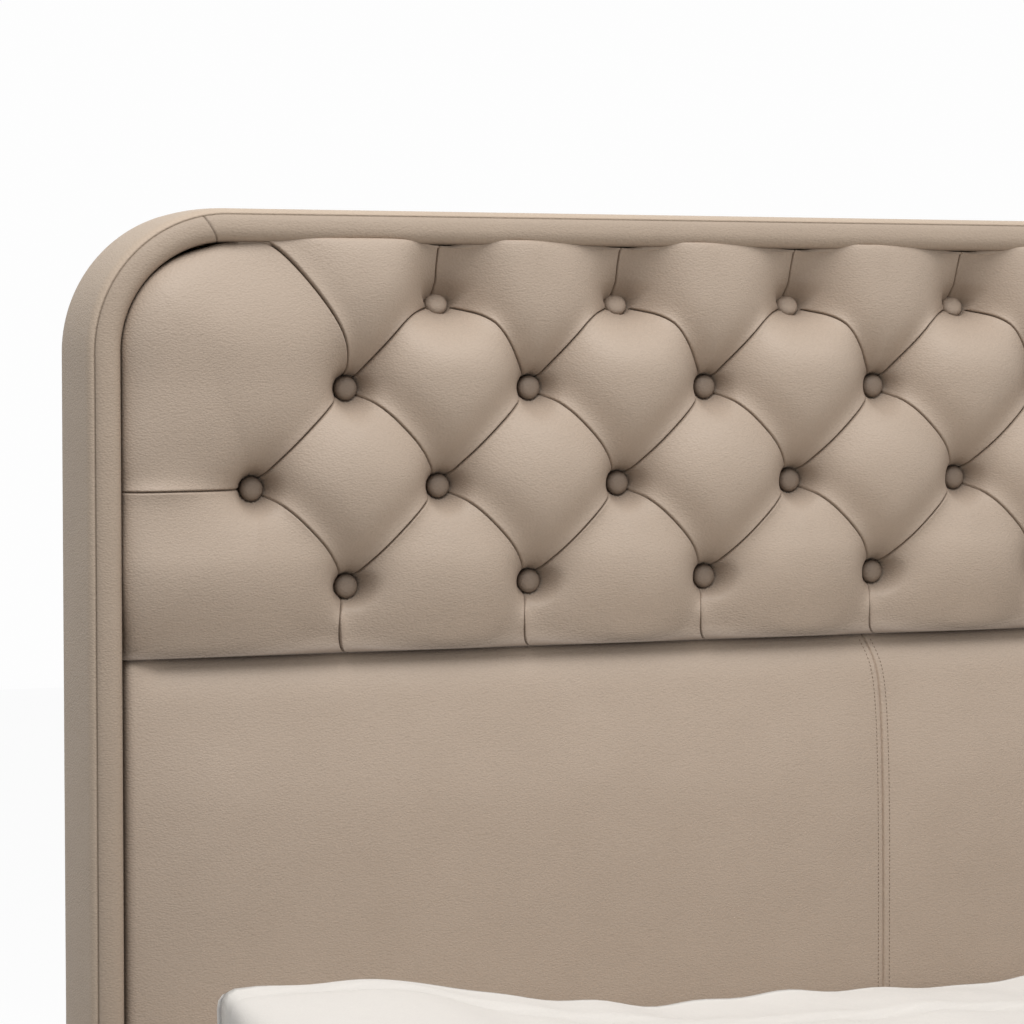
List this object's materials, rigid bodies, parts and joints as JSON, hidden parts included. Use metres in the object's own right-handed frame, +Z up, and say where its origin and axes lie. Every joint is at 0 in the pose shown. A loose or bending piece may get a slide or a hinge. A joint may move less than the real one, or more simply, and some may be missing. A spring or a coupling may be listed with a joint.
{
  "type": "upholstered headboard bed",
  "caption": "Double bed with a padded leather headboard: rounded border, deep diamond tufted band, plain lower panel; padded rails, slatted base, mattress and duvet.",
  "frame": {"origin": "on the floor under the middle of the bed's outline", "axes": "+X across the bed, +Y from foot to headboard, +Z up"},
  "size_m": [1.58, 2.15, 1.25],
  "materials": {
    "taupe_leather": "satin",
    "foam": "matte",
    "backing_cloth": "matte",
    "frame_timber": "matte",
    "plywood": "matte",
    "dark_wood": "satin",
    "beech_slat": "satin",
    "black_plastic": "matte",
    "black_steel": "satin",
    "zinc_steel": "satin",
    "mattress_ticking": "matte",
    "cotton_sheet": "matte",
    "cotton_duvet": "matte"
  },
  "bodies": {
    "bed": {"beam_hangers": "black_steel", "border_boxing": "taupe_leather", "border_core": "frame_timber", "border_facing_left": "taupe_leather", "border_facing_right": "taupe_leather", "border_facing_top": "taupe_leather", "border_wadding": "foam", "bracket_bolts": "zinc_steel", "centre_beam": "frame_timber", "centre_leg_plugs": "black_plastic", "centre_legs": "black_steel", "duvet": "cotton_duvet", "fitted_sheet": "cotton_sheet", "foot_corner_block_left": "frame_timber", "foot_corner_block_right": "frame_timber", "foot_leg_glides": "black_plastic", "foot_leg_left": "dark_wood", "foot_leg_right": "dark_wood", "foot_rail": "frame_timber", "foot_rail_cover": "taupe_leather", "headboard_anchor_left": "frame_timber", "headboard_anchor_right": "frame_timber", "headboard_back_cover": "backing_cloth", "headboard_low_rail": "frame_timber", "headboard_mid_rail": "frame_timber", "headboard_post_glides": "black_plastic", "headboard_post_left": "frame_timber", "headboard_post_right": "frame_timber", "headboard_top_rail": "frame_timber", "lower_board": "plywood", "lower_cover_left": "taupe_leather", "lower_cover_right": "taupe_leather", "lower_foam": "foam", "mattress": "mattress_ticking", "rail_bracket_left": "black_steel", "rail_bracket_right": "black_steel", "side_rail_cover_left": "taupe_leather", "side_rail_cover_right": "taupe_leather", "side_rail_left": "frame_timber", "side_rail_right": "frame_timber", "slat_caps_inner": "black_plastic", "slat_caps_outer": "black_plastic", "slat_ledger_left": "frame_timber", "slat_ledger_right": "frame_timber", "slats_left": "beech_slat", "slats_right": "beech_slat", "tuft_buttons": "taupe_leather", "tufted_pad": "taupe_leather", "tufting_board": "plywood"},
    "leveller_1_screw": {"leveller_1": "zinc_steel"},
    "leveller_2_screw": {"leveller_2": "zinc_steel"},
    "leveller_3_screw": {"leveller_3": "zinc_steel"}
  },
  "joints": [
    {"name": "leveller_1_height", "type": "slide", "parent": "bed", "child": "leveller_1_screw", "axis": [0, 0, -1], "range_m": [0, 0.015]},
    {"name": "leveller_2_height", "type": "slide", "parent": "bed", "child": "leveller_2_screw", "axis": [0, 0, -1], "range_m": [0, 0.015]},
    {"name": "leveller_3_height", "type": "slide", "parent": "bed", "child": "leveller_3_screw", "axis": [0, 0, -1], "range_m": [0, 0.015]}
  ]
}
